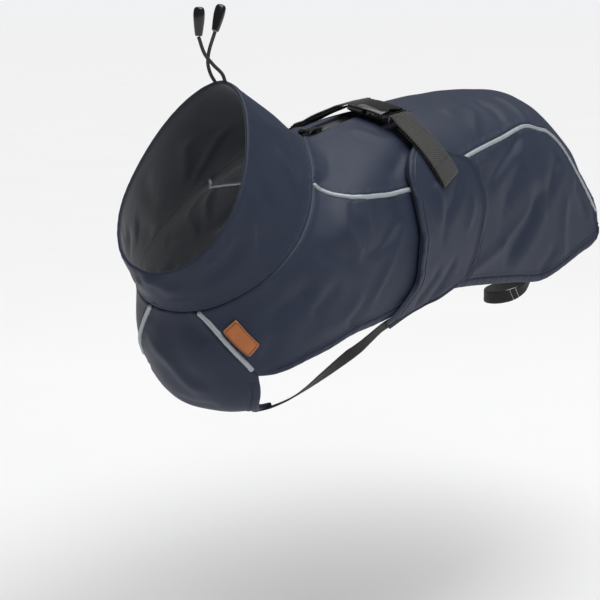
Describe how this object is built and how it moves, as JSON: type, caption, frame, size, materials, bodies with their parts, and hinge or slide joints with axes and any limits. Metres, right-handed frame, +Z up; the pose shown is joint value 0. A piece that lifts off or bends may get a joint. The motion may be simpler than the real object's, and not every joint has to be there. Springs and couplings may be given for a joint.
{
  "type": "dog jacket",
  "caption": "Shaped dog jacket, buckled on and hollow, with a stand-up drawcord collar, back zip, webbing strap, piped side panels, open belly and elastic leg loops.",
  "frame": {"origin": "on the inner face of the back, on the coat's middle plane, above the belly strap, where the wearer's back carries the coat", "axes": "+X towards the wearer's tail, +Z up, -Y towards the wearer's left; the wearer faces -X"},
  "size_m": [0.5625, 0.1772, 0.2751],
  "materials": {
    "navy_shell": "smooth satin shell cloth",
    "navy_collar": "smooth satin shell cloth, doubled",
    "grey_piping": "satin reflective piping",
    "black_elastic": "matte woven elastic",
    "black_webbing": "ribbed webbing",
    "zip_tape": "coated coil-zip tape",
    "black_cord": "braided cord",
    "black_plastic": "glossy",
    "black_metal": "glossy black coating",
    "tan_leather": "smooth with pale cut edges"
  },
  "bodies": {
    "coat": {"collar": "navy_collar", "back_panel": "navy_shell", "side_panel_left": "navy_shell", "side_panel_right": "navy_shell", "chest_bib": "navy_shell", "wing_left": "navy_shell", "wing_right": "navy_shell", "back_piping_left": "grey_piping", "back_piping_right": "grey_piping", "chest_piping_left": "grey_piping", "chest_piping_right": "grey_piping", "belly_strap_left": "black_elastic", "belly_strap_right": "black_elastic", "leg_loop_left": "black_elastic", "leg_loop_right": "black_elastic", "label": "tan_leather", "webbing_left": "black_webbing", "webbing_right": "black_webbing", "buckle_socket": "black_plastic", "buckle_plug": "black_plastic", "zip_tape": "zip_tape", "zip_slider": "black_metal", "drawcord_left": "black_cord", "drawcord_right": "black_cord", "drawcord_end_left": "black_plastic", "drawcord_end_right": "black_plastic"},
    "pull_tab": {"zip_pull_tab": "black_metal"}
  },
  "joints": [
    {"name": "pull_tab_hinge", "type": "hinge", "parent": "coat", "child": "pull_tab", "pos_m": [-0.09124, 0, -0.00957], "axis": [0, -1, 0], "range_deg": [0, 145]}
  ]
}
